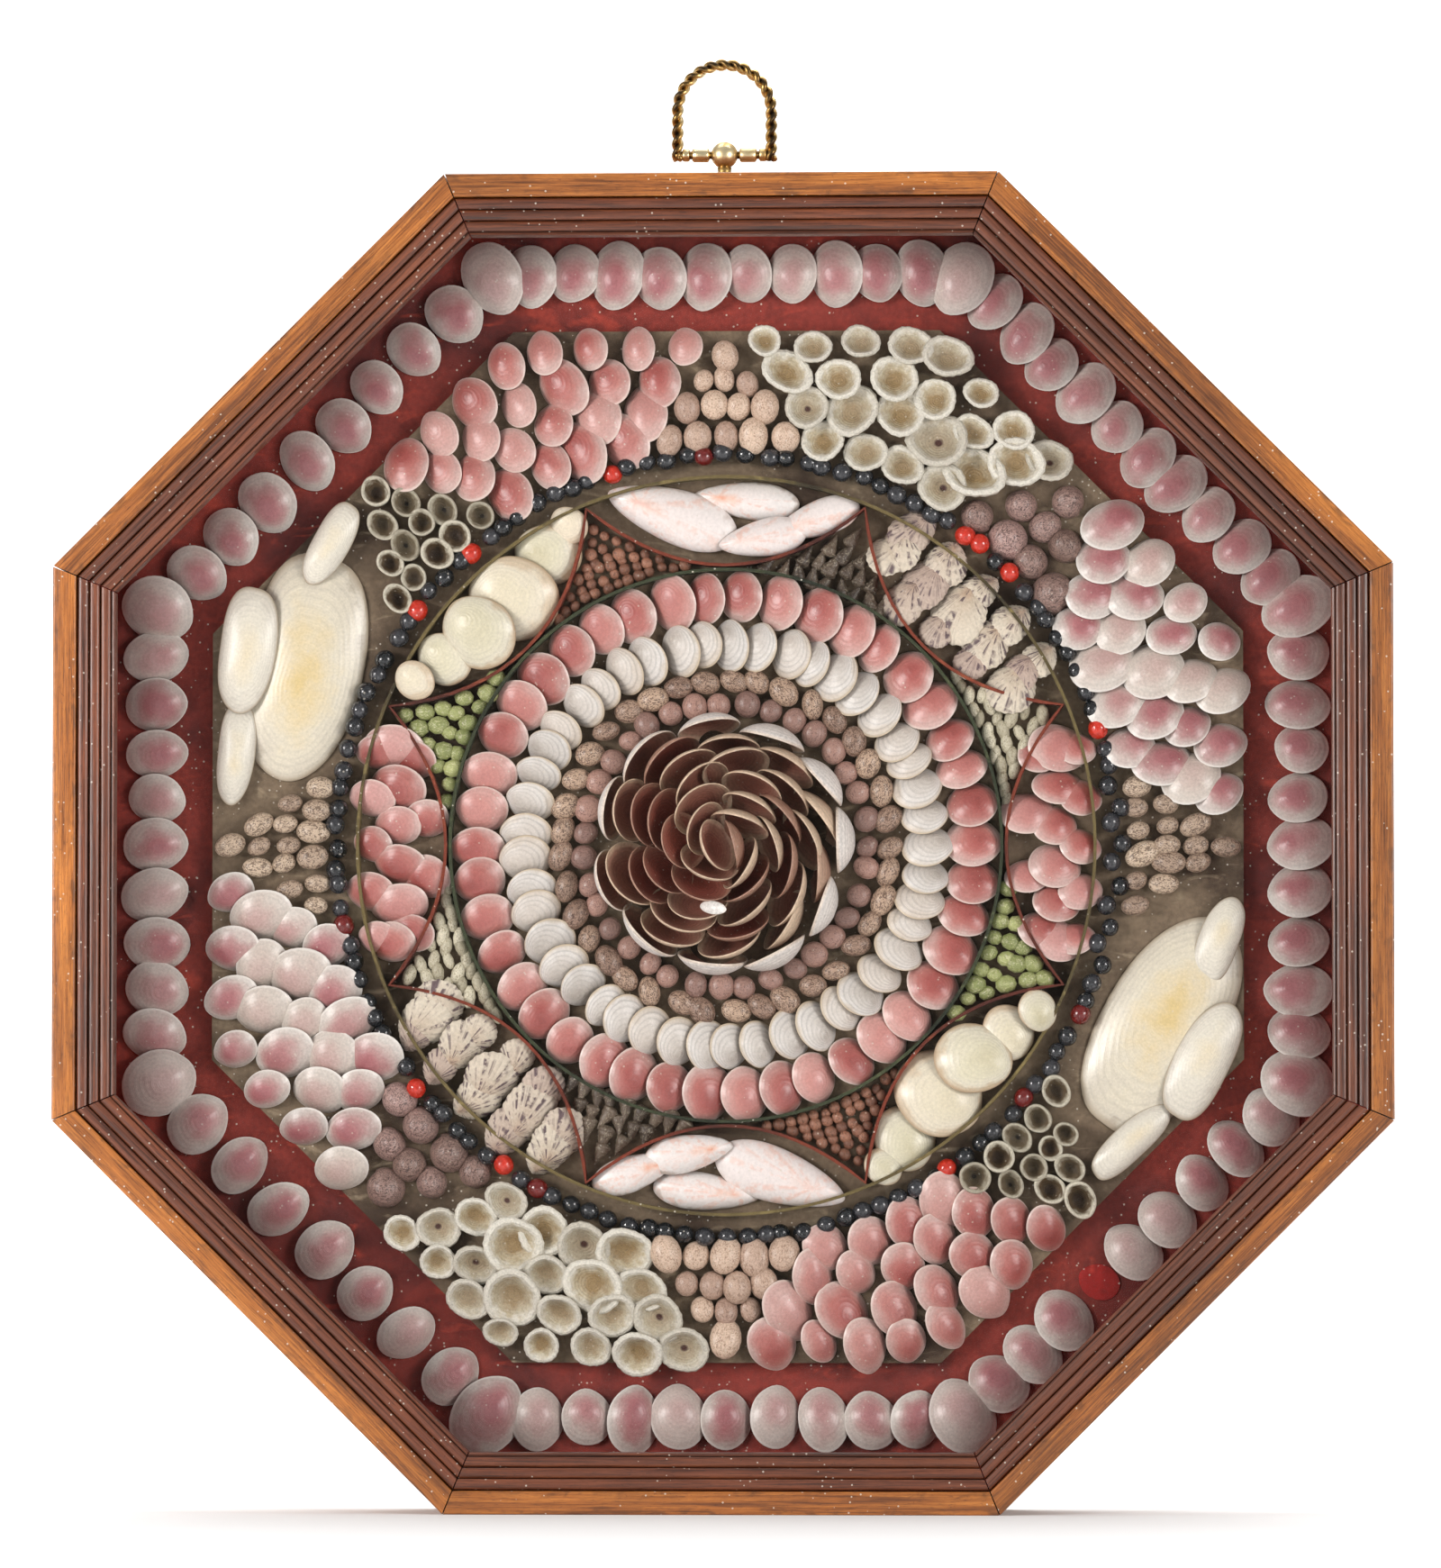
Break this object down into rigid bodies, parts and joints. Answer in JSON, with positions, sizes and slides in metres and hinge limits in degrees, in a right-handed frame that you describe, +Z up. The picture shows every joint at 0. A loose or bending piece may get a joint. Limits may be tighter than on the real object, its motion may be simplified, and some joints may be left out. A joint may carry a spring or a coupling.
{
  "type": "sailor's valentine",
  "caption": "Octagonal glazed wooden wall case with a reeded moulding, holding a mosaic of sea shells round a shell rose, with a swinging brass bail on top.",
  "frame": {"origin": "centre of the case's underside, the bottom side on which it stands", "axes": "+Z up towards the hanger, -Y out of the glazed front, +X to the viewer's right"},
  "size_m": [0.343, 0.041, 0.3746],
  "materials": {
    "amber_wood": "satin",
    "dark_wood": "satin",
    "back_wood": "matte",
    "clear_glass": "gloss",
    "red_paper": "matte",
    "bed_board": "matte",
    "strip_paper": "matte",
    "brass": "satin",
    "black_beads": "gloss",
    "rose_shell": "satin",
    "border_shell": "satin",
    "pinks": "satin",
    "white_shell": "satin",
    "seed_shell": "satin",
    "nerites": "satin",
    "ring_shells": "matte",
    "mottled_seeds": "satin",
    "brown_nerites": "satin",
    "limpets": "matte",
    "pearl_ovals": "satin",
    "tellins": "satin",
    "scallops": "matte",
    "coquinas": "satin",
    "pearls": "satin"
  },
  "bodies": {
    "case": {"case_side_right": "amber_wood", "case_side_upper_right": "amber_wood", "case_side_top": "amber_wood", "case_side_upper_left": "amber_wood", "case_side_left": "amber_wood", "case_side_lower_left": "amber_wood", "case_side_bottom": "amber_wood", "case_side_lower_right": "amber_wood", "reeded_moulding_right": "dark_wood", "reeded_moulding_upper_right": "dark_wood", "reeded_moulding_top": "dark_wood", "reeded_moulding_upper_left": "dark_wood", "reeded_moulding_left": "dark_wood", "reeded_moulding_lower_left": "dark_wood", "reeded_moulding_bottom": "dark_wood", "reeded_moulding_lower_right": "dark_wood", "glass_pane": "clear_glass", "back_board": "back_wood", "red_paper_ground": "red_paper", "mosaic_bed": "bed_board", "inner_paper_strip": "strip_paper", "outer_paper_strip": "strip_paper", "scalloped_paper_strip": "strip_paper", "border_shells": "border_shell", "bead_band": "black_beads", "pink_shell_ring": "pinks", "white_shell_ring": "white_shell", "outer_seed_ring": "seed_shell", "inner_seed_ring": "seed_shell", "shell_rose": "rose_shell", "right_wedge_mottled_seeds": "mottled_seeds", "upper_right_wedge_brown_nerites": "brown_nerites", "top_wedge_nerites": "nerites", "upper_left_wedge_ring_shells": "ring_shells", "left_wedge_mottled_seeds": "mottled_seeds", "lower_left_wedge_brown_nerites": "brown_nerites", "bottom_wedge_nerites": "nerites", "lower_right_wedge_ring_shells": "ring_shells", "corner_1_pearl_ovals": "pearl_ovals", "corner_2_limpets": "limpets", "corner_3_pinks": "pinks", "corner_4_tellins": "tellins", "corner_5_pearl_ovals": "pearl_ovals", "corner_6_limpets": "limpets", "corner_7_pinks": "pinks", "corner_8_tellins": "tellins", "right_lens_pinks": "pinks", "upper_right_lens_scallops": "scallops", "top_lens_coquinas": "coquinas", "upper_left_lens_pearls": "pearls", "left_lens_pinks": "pinks", "lower_left_lens_scallops": "scallops", "bottom_lens_coquinas": "coquinas", "lower_right_lens_pearls": "pearls", "hanger_post": "brass"},
    "bail": {"hanger_bail": "brass"}
  },
  "joints": [
    {"name": "bail_hinge", "type": "hinge", "parent": "case", "child": "bail", "pos_m": [0, 0, 0.3496], "axis": [1, 0, 0], "range_deg": [-95, 95]}
  ]
}
